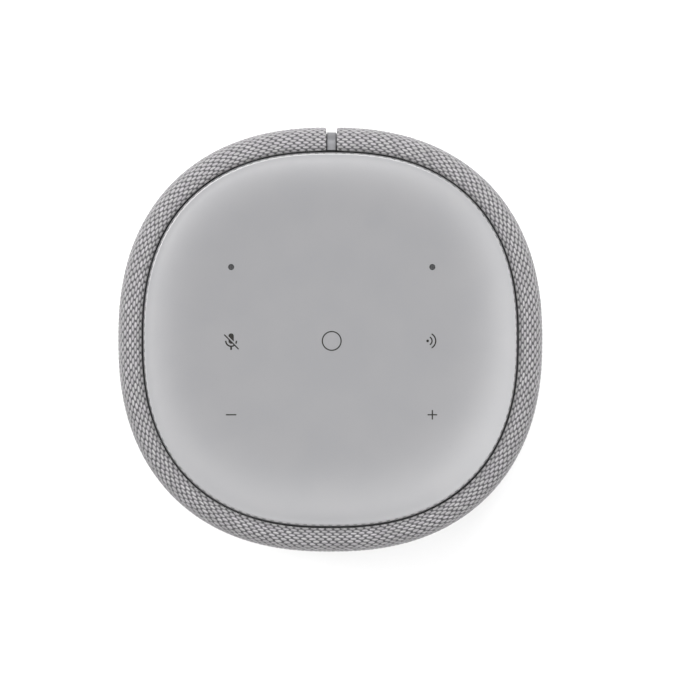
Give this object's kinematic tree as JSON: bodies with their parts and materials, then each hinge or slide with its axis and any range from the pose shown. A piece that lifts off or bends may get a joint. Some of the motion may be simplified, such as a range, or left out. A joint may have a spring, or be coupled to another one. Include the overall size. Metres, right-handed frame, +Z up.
{
  "type": "smart speaker",
  "caption": "Fabric-covered table-top smart speaker, a rounded-square column with a flush touch panel on top and a full-range pair of drivers inside.",
  "frame": {"origin": "centre of the footprint, on the surface that the foot stands on", "axes": "+Z up through the touch panel, -Y to the front where the drivers face, +Y to the back where the metal strip and the mains inlet are, +X to the right seen from the front"},
  "size_m": [0.14, 0.1399, 0.188],
  "materials": {
    "cloth": "light and dark grey plain-woven wool blend",
    "panel": "soft-touch light grey plastic",
    "grey_plastic": "fine-textured moulded plastic",
    "black_plastic": "fine-textured moulded plastic",
    "clear_plastic": "milky light-guide plastic",
    "rubber": "matte moulded rubber",
    "foam": "fibre wadding",
    "aluminium": "satin anodised",
    "steel": "zinc-plated",
    "ferrite": "sintered ceramic magnet",
    "copper": "enamelled copper winding",
    "paper": "pressed paper pulp",
    "silk": "coated silk",
    "circuit_board": "solder-masked glass fibre board",
    "wire_jacket": "insulated lead"
  },
  "bodies": {
    "housing": {"antenna_left": "circuit_board", "antenna_right": "circuit_board", "back_strip": "aluminium", "baffle": "grey_plastic", "baffle_gasket": "rubber", "base_plate": "grey_plastic", "base_screw_1": "steel", "base_screw_2": "steel", "base_screw_3": "steel", "base_screw_4": "steel", "board_screw_1": "steel", "board_screw_2": "steel", "bulk_capacitor": "black_plastic", "cabinet": "grey_plastic", "cable_grommet": "rubber", "damping_pad": "foam", "fabric_sleeve": "cloth", "grille_shell": "black_plastic", "heatsink": "aluminium", "inlet_frame": "grey_plastic", "inlet_pin_left": "steel", "inlet_pin_right": "steel", "light_guide": "clear_plastic", "main_board": "circuit_board", "mains_inlet": "black_plastic", "mic_boot_left": "rubber", "mic_boot_right": "rubber", "mic_mesh_left": "steel", "mic_mesh_right": "steel", "power_board": "circuit_board", "power_lead": "wire_jacket", "rubber_foot": "rubber", "shield_can": "steel", "top_frame": "grey_plastic", "top_panel": "panel", "touch_board": "circuit_board", "touch_ribbon": "clear_plastic", "transformer": "black_plastic", "tweeter_faceplate": "black_plastic", "tweeter_lead": "wire_jacket", "tweeter_magnet": "ferrite", "tweeter_screw_1": "steel", "tweeter_screw_2": "steel", "tweeter_surround": "silk", "woofer_basket": "steel", "woofer_gasket": "rubber", "woofer_lead": "wire_jacket", "woofer_magnet": "ferrite", "woofer_screw_1": "steel", "woofer_screw_2": "steel", "woofer_screw_3": "steel", "woofer_screw_4": "steel", "woofer_spider": "silk", "woofer_surround": "rubber", "woofer_top_plate": "steel", "woofer_yoke": "steel"},
    "woofer_diaphragm": {"woofer_cone": "paper", "woofer_dust_cap": "paper", "voice_coil": "copper"},
    "tweeter_diaphragm": {"tweeter_dome": "silk"}
  },
  "joints": [
    {"name": "woofer_travel", "type": "slide", "parent": "housing", "child": "woofer_diaphragm", "axis": [0, -1, 0], "range_m": [-0.0035, 0.0035], "stiffness_N_per_m": 900, "deforming": ["woofer_surround", "woofer_spider"]},
    {"name": "tweeter_travel", "type": "slide", "parent": "housing", "child": "tweeter_diaphragm", "axis": [0, -1, 0], "range_m": [-0.0003, 0.0003], "stiffness_N_per_m": 1200, "deforming": ["tweeter_surround"]}
  ]
}
